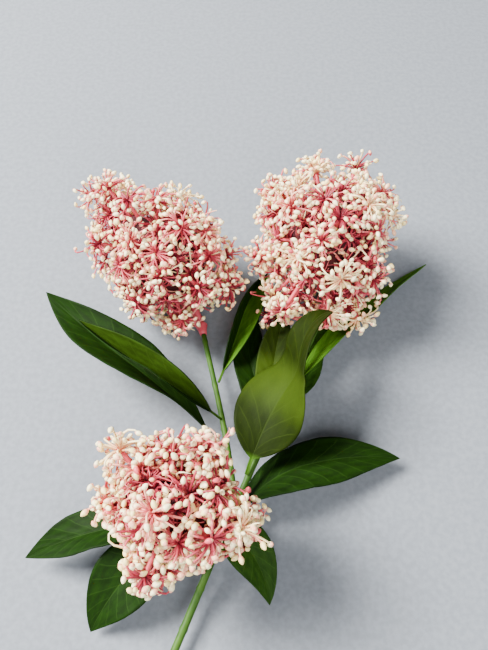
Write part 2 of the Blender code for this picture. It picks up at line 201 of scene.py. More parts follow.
# Stalks: stout ones that bow from the cup into the core, short ones that run from inside the core
# to just past the middle of each umbel, and one that shows beside the cup of the left head
STALK, STALKS, STALK_STEPS, STALK_SIDES = 0.0026, 3, 12, 9
STALK_SPREAD, STALK_REACH = math.radians(70), 0.022
STALK_BOW, STALK_TAPER, STALK_FROM = 0.30, 0.35, 0.7
SHORT_STALK, SHORT_SIDES, SHORT_STEPS = 0.0014, 6, 4
SHORT_FROM, SHORT_LENGTH = 0.55, 0.47
SIDE_STALK = {"bloom_left": (-0.0506, 0.2165, 0.0230)}
SIDE_GIRTH, SIDE_FOOT = 1.4, 0.55

# The cup's profile, as shares of its length and of its foot's radius
CUP_ALONG = np.array([0, 0.3, 0.6, 0.85, 1.0])
CUP_ROUND = np.array([0.95, 1.1, 1.35, 1.7, 1.55])
CUP_SIDES = 14

# The core's share of the reach, its grid, and its bumps' height and number round and upwards
CORE_SHARE, CORE_BUMPS, BUMPS_ROUND, BUMPS_UP = 0.46, 0.08, 9, 12
CORE_RINGS, CORE_SIDES, CORE_TOP = 15, 24, 0.98

# How far the outer half of a filament keeps off leaves and stems
OFF_LEAF, OFF_STEM = 0.0033, 0.0040

# The camera in the layout: height and tilt, and its focal length in pixels of the picture's height
CAMERA_HEIGHT, CAMERA_TILT = 0.3933, math.radians(29)
FOCAL, PICTURE_HEIGHT, SENSOR = 600, 650, 36

# What brings the layout into the CAD's frame: the cut end's mount is known in both
SHIFT = np.array(frame["record"]["mounts"][0]["pos_m"]) - np.array(CUT_END)


# Colours, of 0 to 255. Threads have one for each step from the root outwards, by the kind of umbel,
# and each head has its shares of the kinds
THREADS = {
    "deep": [
        (103, 9, 29), (127, 17, 40), (149, 29, 53),
        (169, 44, 64), (190, 68, 82), (210, 105, 109),
    ],
    "rose": [
        (134, 20, 42), (158, 36, 56), (182, 62, 75),
        (202, 92, 98), (221, 128, 122), (232, 161, 141),
    ],
    "pale": [
        (166, 45, 58), (192, 77, 83), (216, 115, 109),
        (234, 158, 134), (242, 188, 154), (245, 206, 168),
    ],
    "cream": [
        (206, 128, 100), (230, 178, 132), (245, 214, 160),
        (250, 229, 176), (252, 236, 184), (252, 238, 188),
    ],
}
UMBEL_SHARES = {
    "bloom_left": (0.36, 0.34, 0.14, 0.16), "bloom_right": (0.22, 0.30, 0.20, 0.28),
    "bloom_front": (0.24, 0.30, 0.20, 0.26),
}

# Bud colours, their shares, the neck's colour, and the share of buds that blush above the neck. The peach
# neck and the blush above it are partly the buds' own colour at their base and partly painted shade on the
# bud's lower part
BUDS = {"ivory": (255, 243, 192), "cream": (255, 231, 158), "blush": (250, 194, 156), "rose": (216, 84, 94)}
BUD_SHARES = (0.58, 0.30, 0.09, 0.03)
BUD_NECK_AND_SHADE, BLUSHING_AND_SHADE = (240, 168, 140), 0.3
# The core's dark red is painted shade: it stands for the shade deep inside a head
STALK_PINK, SHADE_CORE_RED = (196, 70, 84), (66, 7, 20)

# For each kind of leaf side: blade, shade and vein colours, roughness, weave, and how much of the blade
# colour is kept to a band about the middle of the leaf as painted light, with the shade colour as painted
# shade towards foot and tip
LEAF_KINDS = {
    "top": (((16, 38, 3), (10, 27, 2), (38, 64, 18)), 0.60, 0.4, 0),
    # Under side: its blade colour keeps mostly to a band about the middle, painted light, and its shade
    # colour is painted shade towards foot and tip
    "under": (((42, 58, 9), (18, 28, 2), (44, 60, 14)), 0.65, 1.0, 0.85),
    # The underside olive on the right half of leaf_left_folded, which also stands for the light on that
    # half: partly painted light
    "inner": (((37, 58, 9), (27, 43, 5), (46, 66, 18)), 0.65, 1.0, 0),
    # Painted light: a lighter copy of the upper side for leaves that lie in the heads' shade
    "painted_lit_middle": (((38, 66, 15), (27, 52, 10), (60, 92, 30)), 0.60, 0.5, 0),
    # A lighter green upper side; on the right half of leaf_left_upright, which is turned from the lamp, it
    # is painted light
    "lighter_green": (((66, 104, 24), (50, 86, 15), (92, 126, 48)), 0.60, 0.6, 0),
}
LEAF_FOOT = (58, 92, 22)
STEM_DARK, STEM_LIGHT, STEM_BROWN = (40, 72, 14), (60, 94, 24), (74, 62, 38)

# The stretch along Y over which the stem browns to its cut end
BROWN_BELOW, GREEN_ABOVE = -0.20, -0.10
FLOOR_DARK, FLOOR_LIGHT = (111, 117, 125), (121, 127, 135)

# The cloth's weave, as waves across and along a leaf, and the height of a leaf's and a stem's relief
WEAVE_ACROSS, WEAVE_ALONG = 95, 420
LEAF_RELIEF, STEM_RELIEF = 0.0006, 0.0004


# Shader graph
class Value:
    """A shader socket that arithmetic works on. Each operation adds one Math node."""

    def __init__(self, tree, socket):
        self.tree, self.socket = tree, socket

    def maths(self, operation, *others, turned=False, clamp=False):
        """A Math node on this value and the others, in this order or turned round."""
        values = [self, *others]
        if turned:
            values.reverse()
        settings = {"operation": operation, "use_clamp": clamp}
        return made(self.tree, "ShaderNodeMath", settings, dict(enumerate(values)))

    def __add__(self, other):
        return self.maths("ADD", other)

    __radd__ = __add__

    def __sub__(self, other):
        return self.maths("SUBTRACT", other)

    def __rsub__(self, other):
        return self.maths("SUBTRACT", other, turned=True)

    def __mul__(self, other):
        return self.maths("MULTIPLY", other)

    __rmul__ = __mul__

    def __truediv__(self, other):
        return self.maths("DIVIDE", other)

    def __rtruediv__(self, other):
        return self.maths("DIVIDE", other, turned=True)

    def __abs__(self):
        return self.maths("ABSOLUTE")

    def clamped(self):
        return self.maths("ADD", 0.0, clamp=True)

    def step(self, low, high):
        """Zero below low and one above high, eased between."""
        t = ((self - low) / (high - low)).clamped()
        return t * t * (3 - 2 * t)


def made(tree, kind, settings, inputs, output=0):
    """The output of a new node, its inputs set by name or number to values or plain numbers."""
    node = tree.nodes.new(kind)
    for name, value in settings.items():
        setattr(node, name, value)
    for name, value in inputs.items():
        if isinstance(value, Value):
            tree.links.new(value.socket, node.inputs[name])
        else:
            node.inputs[name].default_value = value
    return Value(tree, node.outputs[output])


def mixed(tree, share, first, second):
    """A colour between two, by a share."""
    first, second = [(*c, 1) if isinstance(c, tuple) else c for c in (first, second)]
    return made(tree, "ShaderNodeMix", {"data_type": "RGBA"}, {0: share, 6: first, 7: second}, 2)


def noise_at(tree, place, scale, detail):
    """Soft noise between 0 and 1, finer with a larger scale."""
    return made(tree, "ShaderNodeTexNoise", {}, {"Vector": place, "Scale": scale, "Detail": detail})


def part_of(tree, place, axis):
    """One coordinate of a place, by its number."""
    return made(tree, "ShaderNodeSeparateXYZ", {}, {0: place}, axis)


def object_place(tree):
    """The place in the object's own coordinates."""
    return made(tree, "ShaderNodeTexCoord", {}, {}, 3)


def linear(colour):
    """A display colour of 0 to 255 as the linear one that shaders take."""
    share = np.array(colour) / 255
    curve = np.where(share <= 0.04045, share / 12.92, ((share + 0.055) / 1.055) ** 2.4)
    return tuple(float(value) for value in curve)


def new_material(name, roughness, colour=(128, 128, 128), specular=0.5):
    """A material of one colour and finish."""
    material = bpy.data.materials.new(name)
    material.use_nodes = True
    shader = material.node_tree.nodes["Principled BSDF"]
    shader.inputs["Base Color"].default_value = (*linear(colour), 1)
    shader.inputs["Roughness"].default_value = roughness
    shader.inputs["Specular IOR Level"].default_value = specular
    return material


def connect(material, value, name):
    """The value feeds the material's shader there."""
    shader = material.node_tree.nodes["Principled BSDF"]
    material.node_tree.links.new(value.socket, shader.inputs[name])


def connect_bump(material, height, distance, strength):
    """The height lifts the surface's light and shade by up to this distance."""
    inputs = {"Strength": strength, "Distance": distance, "Height": height}
    connect(material, made(material.node_tree, "ShaderNodeBump", {}, inputs), "Normal")


def leaf_material(name, colours, roughness, weave, painted_light_band):
    """Cloth leaf. Across u and along v come from the leaf's UV map. Side veins leave the midrib in
    pairs and bend to the tip, at v - lean |u| + bend |u|², and the blade is mottled between them. The
    larger the painted light band's share, the more its lighter colour keeps to a band about the middle
    instead: painted light there, and painted shade towards foot and tip. The weave is a fine relief of
    crossed waves."""
    blade, shade, vein = [linear(colour) for colour in colours]
    material = new_material(name, roughness, specular=0.05)
    tree = material.node_tree
    place = made(tree, "ShaderNodeUVMap", {"uv_map": "leaf"}, {})
    across = abs(part_of(tree, place, 0) * 2 - 1)
    lengthwise = part_of(tree, place, 1)
    noise = noise_at(tree, place, 9.0, 3.0)
    bend = lengthwise - across * VEIN_LEAN + across * across * VEIN_BEND + (noise - 0.5) * 0.02
    wave = abs((bend * VEINS).maths("FRACT") - 0.5) * 2
    side_vein = 1 - (1 - wave).step(0.02, 0.12)
    side_vein = side_vein * (1 - across.step(0.80, 1.0)) * across.step(0.0, 0.06)
    midrib = 1 - across.step(0.01, 0.045)
    veins = side_vein.maths("MAXIMUM", midrib)
    mottle = (noise * 0.7 + noise_at(tree, place, 60.0, 2.0) * 0.3).step(0.35, 0.65)
    # Painted light: for the under side a lighter band about the middle of the leaf, with painted shade
    # towards foot and tip
    painted_light_mask = lengthwise.step(0.26, 0.42) * (1 - lengthwise.step(0.48, 0.62))
    mottle = mottle * (1 - painted_light_band) + painted_light_mask * painted_light_band
    colour = mixed(tree, mottle, shade, blade)
    colour = mixed(tree, veins * 0.30, colour, vein)
    foot = 1 - lengthwise.step(PETIOLE - 0.01, PETIOLE + 0.03)
    connect(material, mixed(tree, foot, colour, linear(LEAF_FOOT)), "Base Color")
    threads = (across * WEAVE_ACROSS).maths("SINE") * (lengthwise * WEAVE_ALONG).maths("SINE") * weave
    relief = (0.5 + wave * 0.16 + threads * 0.04 - midrib * 0.5).clamped()
    connect_bump(material, relief, LEAF_RELIEF, strength=0.6)
    return material


def stem_material():
    """Moulded green, mottled, that browns along Y to the cut end."""
    material = new_material("stem_moulded", roughness=0.55, specular=0.2)
    tree = material.node_tree
    place = object_place(tree)
    noise = noise_at(tree, place, 90.0, 4.0)
    brown = 1 - (part_of(tree, place, 1) + (noise - 0.5) * 0.06).step(BROWN_BELOW, GREEN_ABOVE)
    colour = mixed(tree, noise.step(0.35, 0.65), linear(STEM_DARK), linear(STEM_LIGHT))
    connect(material, mixed(tree, brown * 0.8, colour, linear(STEM_BROWN)), "Base Color")
    connect_bump(material, noise, STEM_RELIEF, strength=0.5)
    return material


def floor_material():
    """Plain pale floor with a faint mottle."""
    material = new_material("floor_pale", roughness=0.85)
    tree = material.node_tree
    noise = noise_at(tree, object_place(tree), 260.0, 5.0)
    colour = mixed(tree, noise.step(0.3, 0.7), linear(FLOOR_DARK), linear(FLOOR_LIGHT))
    connect(material, colour, "Base Color")
    return material


# Meshes
def solid(name, points, faces, materials, slots=None, uv=None):
    """A smooth mesh object from points and groups of face corners, its place in its vertices."""
    mesh = bpy.data.meshes.new(name)
    corners = [face for group in faces for face in group.tolist()]
    mesh.from_pydata((points + SHIFT).tolist(), [], corners)
    for material in materials:
        mesh.materials.append(material)
    if slots is not None:
        mesh.polygons.foreach_set("material_index", np.asarray(slots, np.int32))
    if uv is not None:
        vertices = np.zeros(len(mesh.loops), np.int32)
        mesh.loops.foreach_get("vertex_index", vertices)
        mesh.uv_layers.new(name="leaf").data.foreach_set("uv", uv[vertices].ravel().astype(np.float32))
    mesh.shade_smooth()
    mesh.update()
    piece = bpy.data.objects.new(name, mesh)
    bpy.context.scene.collection.objects.link(piece)
    return piece


def stand_for(piece, node):
    """The piece rides on the spray's one body and stands for a CAD node."""
    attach(piece, "root")
    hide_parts(node)


def unit(vectors):
    """The vectors at length one."""
    return vectors / np.linalg.norm(vectors, axis=-1, keepdims=True)


def frames(paths):
    """Two directions across each path, carried along it without twist."""
    tangent = unit(np.gradient(paths, axis=1))
    helper = np.eye(3)[np.abs(tangent[:, 0]).argmin(axis=1)]
    across = unit(np.cross(tangent[:, 0], helper))
    carried = []
    for station in range(paths.shape[1]):
        here = tangent[:, station]
        across = unit(across - here * (across * here).sum(axis=1, keepdims=True))
        carried.append(across)
    carried = np.stack(carried, axis=1)
    return carried, np.cross(tangent, carried)


def closed_grid(rings, sides):
    """Quads between rings of points, and the triangles that close both ends to the two poles, which
    come after the rings."""
    ring = np.arange(rings)[:, None] * sides
    here, after = ring + np.arange(sides), ring + (np.arange(sides) + 1) % sides
    quads = np.stack([here[:-1], after[:-1], after[1:], here[1:]], axis=-1)
    pole = np.full(sides, rings * sides)
    first = np.stack([pole, after[0], here[0]], axis=-1)
    last = np.stack([pole + 1, here[-1], after[-1]], axis=-1)
    return quads, np.stack([first, last])


def tubes(paths, radii, sides):
    """Closed tubes. A ring at path point p is p + r (cos a · across + sin a · up), and both ends close
    to a pole. Gives points, quads by tube, step and side, and the triangles of both ends."""
    count, stations = paths.shape[:2]
    across, up = frames(paths)
    angle = np.arange(sides) * (2 * np.pi / sides)
    radii = np.broadcast_to(radii, (count, stations))[:, :, None, None]
    round_off = across[:, :, None] * np.cos(angle)[:, None] + up[:, :, None] * np.sin(angle)[:, None]
    rings = (paths[:, :, None] + radii * round_off).reshape(count, -1, 3)
    points = np.concatenate([rings, paths[:, :1], paths[:, -1:]], axis=1)
    start = (np.arange(count) * points.shape[1])[:, None, None, None]
    quads, ends = closed_grid(stations, sides)
    return points.reshape(-1, 3), start + quads, start + ends


def tube_slots(steps, quads, ends):
    """Material slots of tubes from a slot for each of their steps: of the quads, then of the
    triangles, which go with the first and the last step."""
    of_quads = np.broadcast_to(steps[:, :, None], quads.shape[:3])
    of_ends = np.broadcast_to(steps[:, [0, -1], None], ends.shape[:3])
    return np.concatenate([of_quads.ravel(), of_ends.ravel()])


def smooth_route(points, steps):
    """A Catmull-Rom curve through the points, with this many steps between two of them."""
    points = [np.array(point) for point in points]
    ends = [2 * points[0] - points[1], *points, 2 * points[-1] - points[-2]]
    t = (np.arange(steps) / steps)[:, None]
    route = []
    for before, start, end, after in zip(ends[:-3], ends[1:-2], ends[2:-1], ends[3:]):
        bend = (2 * before - 5 * start + 4 * end - after) * t**2
        turn = (3 * start - before - 3 * end + after) * t**3
        route.append((2 * start + (end - before) * t + bend + turn) / 2)
    return np.vstack([*route, points[-1][None]])


def bezier(controls, steps):
    """Points of cubic curves given by four control points each."""
    t = np.linspace(0, 1, steps + 1)[None, :, None]
    a, b, c, d = [point[:, None] for point in controls]
    return a * (1 - t) ** 3 + 3 * b * (1 - t) ** 2 * t + 3 * c * (1 - t) * t**2 + d * t**3


def along(route, share):
    """The point at this share of the route's length, and the direction there."""
    lengths = np.linalg.norm(np.diff(route, axis=0), axis=1)
    goal = share * lengths.sum()
    index = min(int(np.searchsorted(np.cumsum(lengths), goal)), len(lengths) - 1)
    part = (goal - lengths[:index].sum()) / lengths[index]
    way = route[index + 1] - route[index]
    return route[index] + way * part, way / lengths[index]


# Leaves
def leaf_surface(leaf, stations, columns):
    """Points of the blade, one row for each station. The midrib starts at zero and turns and climbs
    from place to place. Each half stands out sideways by the half width, lifted by the fold,
    and all of it rolls."""
    share = np.linspace(0, 1, stations + 1)
    step = leaf["length"] / stations

    def between(angles, t):
        return np.radians(np.interp(t, leaf.get("places", PLACES), angles))

    def direction(t):
        heading, climb = between(leaf["heading"], t), between(leaf["climb"], t)
        level = np.cos(climb)
        return np.stack([np.sin(heading) * level, np.cos(heading) * level, np.sin(climb)], axis=1)

    middle = (share[1:] + share[:-1]) / 2
    midrib = np.vstack([np.zeros(3), np.cumsum(direction(middle) * step, axis=0)])
    heading = between(leaf["heading"], share)
    level_side = np.stack([np.cos(heading), -np.sin(heading), 0 * heading], axis=1)
    level_up = np.cross(level_side, direction(share))
    roll = between(leaf["roll"], share)[:, None]
    side = level_side * np.cos(roll) + level_up * np.sin(roll)
    up = level_up * np.cos(roll) - level_side * np.sin(roll)
    blade = np.clip((share - PETIOLE) / (1 - PETIOLE), 0, 1)
    skew = math.log(0.5) / math.log(leaf.get("widest", WIDEST))
    half = leaf["width"] / 2 * np.sin(np.pi * blade**skew) ** FULLNESS
    half = np.where(share < 0.5, np.maximum(half, PETIOLE_HALF), half)[:, None, None]
    across = np.linspace(-1, 1, columns + 1)[None, :, None]
    fold = math.radians(leaf["fold"])
    lift = np.sqrt(across**2 + FOLD_ROUND**2) - FOLD_ROUND
    spread = side[:, None] * across * math.cos(fold) + up[:, None] * lift * math.sin(fold)
    return midrib[:, None] + half * spread, up


def beside_stem(leaf, route, girth):
    """How far the CAD moves the leaf so that its foot is beside the stem and just clear of it."""
    surface, _ = leaf_surface(leaf, CAD_STATIONS, CAD_ACROSS)
    place, stem_way = along(route, leaf["at"])
    way = unit(surface[1, CAD_ACROSS // 2] - surface[0, CAD_ACROSS // 2])
    lean = way @ stem_way
    aside = unit(way - stem_way * lean)
    radius = (girth[0] + (girth[1] - girth[0]) * leaf["at"]) * STEM_FLATS
    corner = -(surface[0] @ aside).min() + CAD_LEAF_THICK / 2 * abs(lean)
    return place + aside * (radius + CLEAR + corner)


def moulded_surface(leaf, foot, number):
    """The fine blade's middle surface: pleated by a cosine between its side veins, waved at the
    margin by a sine along the blade, and grooved along the midrib. All three fade to foot and tip."""
    surface, up = leaf_surface(leaf, LEAF_STATIONS, LEAF_COLUMNS)
    share = np.linspace(0, 1, LEAF_STATIONS + 1)[:, None]
    across = np.linspace(-1, 1, LEAF_COLUMNS + 1)[None]
    broad = np.sin(np.pi * np.clip((share - PETIOLE) / (1 - PETIOLE), 0, 1))
    side_veins = VEINS * (share - VEIN_LEAN * np.abs(across) + VEIN_BEND * across**2)
    pleat = PLEAT * np.cos(2 * np.pi * side_veins) * np.minimum(np.abs(across) * 4, 1)
    waves = 2 * np.pi * (WAVES_ALONG * share + WAVE_BETWEEN_LEAVES * number)
    wave = WAVE * across**2 * np.sin(waves + WAVE_BETWEEN_SIDES * np.sign(across))
    groove = -GROOVE * np.exp(-((across / GROOVE_HALF) ** 2))
    return surface + foot + up[:, None] * ((pleat + wave + groove) * broad)[:, :, None], up


def make_leaf(name, leaf, route, girth, number):
    """The cloth blade: two sheets half a thickness off the middle surface, joined round the rim. Its
    UV map has u across and v along. Gives the middle surface."""
    surface, up = moulded_surface(leaf, beside_stem(leaf, route, girth), number)
    along_way = np.gradient(surface, axis=0)
    across_way = np.gradient(surface, axis=1)
    off = unit(np.cross(across_way, along_way) + up[:, None] * 1e-9) * (LEAF_THICK / 2)
    points = np.concatenate([(surface + off).reshape(-1, 3), (surface - off).reshape(-1, 3)])
    width = LEAF_COLUMNS + 1
    sheet = (LEAF_STATIONS + 1) * width
    rows = np.arange(LEAF_STATIONS)[:, None] * width + np.arange(LEAF_COLUMNS)
    top = np.stack([rows, rows + 1, rows + 1 + width, rows + width], axis=-1).reshape(-1, 4)
    under = top[:, ::-1] + sheet
    rim = np.concatenate([
        np.arange(LEAF_COLUMNS), LEAF_COLUMNS + np.arange(LEAF_STATIONS) * width,
        LEAF_STATIONS * width + LEAF_COLUMNS - np.arange(LEAF_COLUMNS),
        (LEAF_STATIONS - np.arange(LEAF_STATIONS)) * width,
    ])
    following = np.roll(rim, -1)
    edge = np.stack([rim, rim + sheet, following + sheet, following], axis=-1)
    grid_v, grid_u = np.mgrid[0:1:(LEAF_STATIONS + 1) * 1j, 0:1:width * 1j]
    uv = np.tile(np.stack([grid_u, grid_v], axis=-1).reshape(-1, 2), (2, 1))
    upper = np.zeros((LEAF_STATIONS, LEAF_COLUMNS))
    if name in HALF_TURNED:
        upper[:, LEAF_COLUMNS // 2:] = 1
    slots = np.concatenate([upper.ravel(), np.ones(len(under)), np.zeros(len(edge))])
    sides = [leaf_materials[kind] for kind in LEAF_SIDES.get(name, ("top", "under"))]
    piece = solid(name + "_cloth", points, [top, under, edge], sides, slots, uv)
    stand_for(piece, name)
    return surface


# Stems
def make_stem(name, node, route, foot, top, first_joint):
    """A tapered tube along the route, swollen at its joints as exp of minus distance squared."""
    share = np.linspace(0, 1, len(route))
    length = np.linalg.norm(np.diff(route, axis=0), axis=1).sum()
    turns = (share * length - first_joint) / JOINT_EVERY
    from_joint = np.abs((turns + 0.5) % 1 - 0.5) * JOINT_EVERY
    swell = 1 + JOINT_SWELL * np.exp(-((from_joint / JOINT_LENGTH) ** 2))
    radii = (foot + (top - foot) * share) * swell * STEM_SLIM
    points, quads, ends = tubes(route[None], radii, STEM_SIDES)
    piece = solid(name, points, [quads.reshape(-1, 4), ends.reshape(-1, 3)], [stem_green])
    stand_for(piece, node)


# Heads
def dome_directions(axis, count, spread, phase, rng, open_share=0.0):
    """Directions spread evenly by the golden angle over a dome about the axis, each a little off. A
    share of the dome about its axis can stay open."""
    place = open_share + (1 - open_share) * (np.arange(count) + 0.5) / count
    level = 1 - place * (1 - math.cos(spread))
    turn = np.arange(count) * GOLDEN + phase
    flat = np.sqrt(1 - level**2)
    local = np.stack([flat * np.cos(turn), flat * np.sin(turn), level], axis=1)
    local = local + rng.normal(0, SWERVE, local.shape)
    across = unit(np.cross(axis, np.eye(3)[np.abs(axis).argmin()]))
    return unit(local @ np.array([across, np.cross(axis, across), axis]))


def head_reach(head, directions):
    """How far the buds reach in these directions: in the outline's plane the round reach with its
    lobes, and the depth out of it, joined as in an ellipse."""
    up = directions @ np.array((0, math.sin(LEAN), math.cos(LEAN)))
    out = directions @ np.array((0, -math.cos(LEAN), math.sin(LEAN)))
    turn = np.degrees(np.arctan2(up, directions[:, 0]))
    outline = head["round"] + 0 * turn
    for at, height, half_width in head["lobes"]:
        off = (turn - at + 180) % 360 - 180
        outline = outline + height * np.exp(-((off / half_width) ** 2))
    return 1 / np.sqrt((directions[:, 0] ** 2 + up**2) / (outline / 1000) ** 2 + (out / head["deep"]) ** 2)


def place_umbels(name, head, upright, rng):
    """Directions and centres of the umbels, which of them are hollows, and their share of bare
    threads: first those over the whole head, then on each lobe one set back in its middle between
    two others, then the inner ones, which hide the core."""
    dome = dome_directions(upright, UMBELS[name], UMBEL_SPREAD, rng.uniform(0, math.tau), rng)
    lobes = np.array([lobe for lobe in head["lobes"] if lobe[1] > 0])
    turn = np.radians(lobes[:, :1] + lobes[:, 2:] * LOBE_TURNS).ravel()
    sideways, up = np.cos(turn), np.sin(turn)
    own = np.stack([sideways, up * math.sin(LEAN), up * math.cos(LEAN)], axis=1)
    own = unit(own + rng.normal(0, SWERVE, own.shape))
    inner = dome_directions(upright, INNER_UMBELS, UMBEL_SPREAD, rng.uniform(0, math.tau), rng)
    hollow = np.arange(len(dome)) % HOLLOW_EVERY == HOLLOW_EVERY - 1
    share = np.where(hollow, rng.uniform(*HOLLOW, len(dome)), rng.uniform(*OUTER, len(dome)))
    bare = np.where(hollow, BARE_IN_HOLLOW, BARE_SHARE)
    outward = np.vstack([dome, own, inner])
    share = np.concatenate([share, np.tile(LOBE_ROWS, len(lobes)), np.full(len(inner), INNER_ROW)])
    bare = np.concatenate([bare, np.full(len(own), BARE_SHARE), np.ones(len(inner))])
    hollow = np.concatenate([hollow, np.zeros(len(own), bool), np.ones(len(inner), bool)])
    centres = outward * (head_reach(head, outward) * share - STAR)[:, None]
    return outward, centres, hollow, bare


def fan_filaments(head, outward, centres, rng):
    """Paths of the fine filaments of every umbel, from its centre to the bud's tip. They leave
    between the umbel's own direction and theirs and arch over. Also the umbel each belongs to."""
    owner = np.repeat(np.arange(len(outward)), FILAMENTS)
    ways = []
    for direction in outward:
        phase, open_share = rng.uniform(0, math.tau), rng.choice(OPEN)
        ways.append(dome_directions(direction, FILAMENTS, FILAMENT_SPREAD, phase, rng, open_share))
    ways = np.vstack(ways)
    lengths = STAR * rng.uniform(SHORTEST, LONGEST, len(ways))[:, None]
    roots = centres[owner]
    tips = roots + ways * lengths
    distance = np.linalg.norm(tips, axis=1, keepdims=True)
    most = head_reach(head, tips / distance)[:, None] * rng.uniform(*TIP_REACH, (len(tips), 1))
    tips = tips * np.minimum(1, most / distance)
    lean = unit(outward[owner] + ways)
    sway = rng.normal(0, SWAY, tips.shape) * lengths
    rise = roots + lean * lengths * ARCH_ROOT + sway * SWAY_AT_ROOT
    hang = tips - (ways * ARCH_TIP - lean * ARCH_LEAN) * lengths + sway
    return bezier([point + head["middle"] for point in (roots, rise, hang, tips)], THREAD_STEPS), owner


def clear_of(paths, points, gap):
    """Which paths keep their outer halves this far from every point."""
    outer = paths[:, THREAD_STEPS // 2:]
    return np.array([np.linalg.norm(path[:, None] - points[None], axis=2).min() > gap for path in outer])


def bloom_piece(name, node, shapes, materials, slots=None):
    """One joined piece of (points, quads, ends) shapes that stands for the head."""
    corners, groups, total = [], [], 0
    for points, quads, ends in shapes:
        groups += [quads.reshape(-1, 4) + total, ends.reshape(-1, 3) + total]
        corners.append(points)
        total += len(points)
    stand_for(solid(name, np.vstack(corners), groups, materials, slots), node)


def make_threads(name, paths, bare, kinds, rng):
    """A thin tube for each filament, coloured step by step by its umbel's kind. A few have another
    kind's colours, and a bare one tapers further."""
    share = np.linspace(0, 1, THREAD_STEPS + 1)
    radii = THREAD_ROOT + (THREAD_TIP - THREAD_ROOT) * share**THREAD_EASE
    radii = np.where(bare[:, None], THREAD_ROOT * (BARE_ROOT - BARE_TAPER * share), radii)
    stray = rng.random(len(paths)) < STRAYS
    kinds = np.where(stray, rng.integers(0, len(THREADS), len(paths)), kinds)
    points, quads, ends = tubes(paths, radii, THREAD_SIDES)
    slots = tube_slots(kinds[:, None] * THREAD_STEPS + np.arange(THREAD_STEPS), quads, ends)
    bloom_piece(name + "_threads", name, [(points, quads, ends)], thread_materials, slots)


def make_buds(name, paths, bare, rng):
    """A bud at the tip of each thread that isn't bare, swollen towards its middle and blunt at its
    tip, with a neck in its own colour and on some a blush ring above it: partly the bud's own peach and
    partly painted shade on its lower part."""
    size = BUD_SCALE[name] * rng.uniform(*BUD_SIZES, len(paths))[:, None]
    way = unit(paths[:, -1] - paths[:, -2])
    way = unit(way + rng.normal(0, BUD_TILT, way.shape))
    way, size, tip = way[~bare], size[~bare], paths[~bare, -1]
    length = way[:, None] * (size * BUD_LENGTH)[:, :, None]
    bud_paths = tip[:, None] + length * (BUD_ALONG[:, None] - BUD_SEAT)
    points, quads, ends = tubes(bud_paths, BUD * size * BUD_ROUND, BUD_SIDES)
    bud_kind = rng.choice(len(BUDS), len(tip), p=BUD_SHARES)
    step = np.arange(len(BUD_ALONG) - 1)
    # Partly the buds' own peach and partly painted shade: the neck and, on some buds, the ring above it
    blushing_and_shade = (step == 1) & (rng.random(len(tip)) < BLUSHING_AND_SHADE)[:, None]
    colours = np.where(blushing_and_shade, list(BUDS).index("blush"), bud_kind[:, None])
    colours = np.where(step == 0, len(BUDS), colours)
    slots = tube_slots(colours, quads, ends)
    bloom_piece(name + "_buds", name, [(points, quads, ends)], bud_materials, slots)


def make_stalks(name, head, upright, centres, cup_foot, axis, rng):
    """The cup, the stout stalks from it into the core, and a short one from there to each umbel."""
    middle = np.array(head["middle"])
    foot = cup_foot + axis * CUP_LENGTH * STALK_FROM
    spread = dome_directions(-upright, STALKS, STALK_SPREAD, rng.uniform(0, math.tau), rng)
    tops = middle + spread * STALK_REACH
    way = tops - foot
    bow = axis * np.linalg.norm(way, axis=1, keepdims=True) * STALK_BOW
    controls = [np.broadcast_to(foot, tops.shape), foot + bow, tops - way * STALK_BOW, tops]
    share = np.linspace(0, 1, STALK_STEPS + 1)
    shapes = [tubes(bezier(controls, STALK_STEPS), STALK * (1 - STALK_TAPER * share), STALK_SIDES)]
    if name in SIDE_STALK:
        way = np.array(SIDE_STALK[name]) - foot
        controls = [(foot + way * part)[None] for part in (0, STALK_BOW, 1 - STALK_BOW, 1)]
        flare = SIDE_GIRTH * STALK * (SIDE_FOOT + (1 - SIDE_FOOT) * share**3)
        shapes.append(tubes(bezier(controls, STALK_STEPS), flare, STALK_SIDES))
    share = np.linspace(0, 1, SHORT_STEPS + 1)[:, None]
    short = middle + centres[:, None] * (SHORT_FROM + SHORT_LENGTH * share)
    shapes.append(tubes(short, SHORT_STALK, SHORT_SIDES))
    collar = cup_foot + axis * CUP_ALONG[:, None] * CUP_LENGTH
    shapes.append(tubes(collar[None], CUP_ROUND * CUP_FOOT, CUP_SIDES))
    bloom_piece(name + "_stalks", name, shapes, [stalk_pink])


def make_core(name, head):
    """A rough dark core that stops the view through the head and stands for the shade deep inside it,
    painted shade: a share of the head's reach, bumped by a sine of the turn times a sine of the level."""
    levels = np.linspace(-CORE_TOP, CORE_TOP, CORE_RINGS)
    turns = np.linspace(0, math.tau, CORE_SIDES, endpoint=False)
    level, turn = np.meshgrid(levels, turns, indexing="ij")
    flat = np.sqrt(1 - level**2)
    ways = np.stack([flat * np.cos(turn), flat * np.sin(turn), level], axis=-1)
    reach = head_reach(head, ways.reshape(-1, 3)).reshape(level.shape) * CORE_SHARE
    reach = reach * (1 + CORE_BUMPS * np.sin(BUMPS_ROUND * turn) * np.sin(BUMPS_UP * level))
    rings = head["middle"] + ways * reach[..., None]
    poles = head["middle"] + np.array([[0, 0, -1.0], [0, 0, 1.0]]) * reach[[0, -1], 0][:, None]
    points = np.vstack([rings.reshape(-1, 3), poles])
    quads, ends = closed_grid(CORE_RINGS, CORE_SIDES)
    bloom_piece(name + "_core", name, [(points, quads, ends)], [shade_core_red])


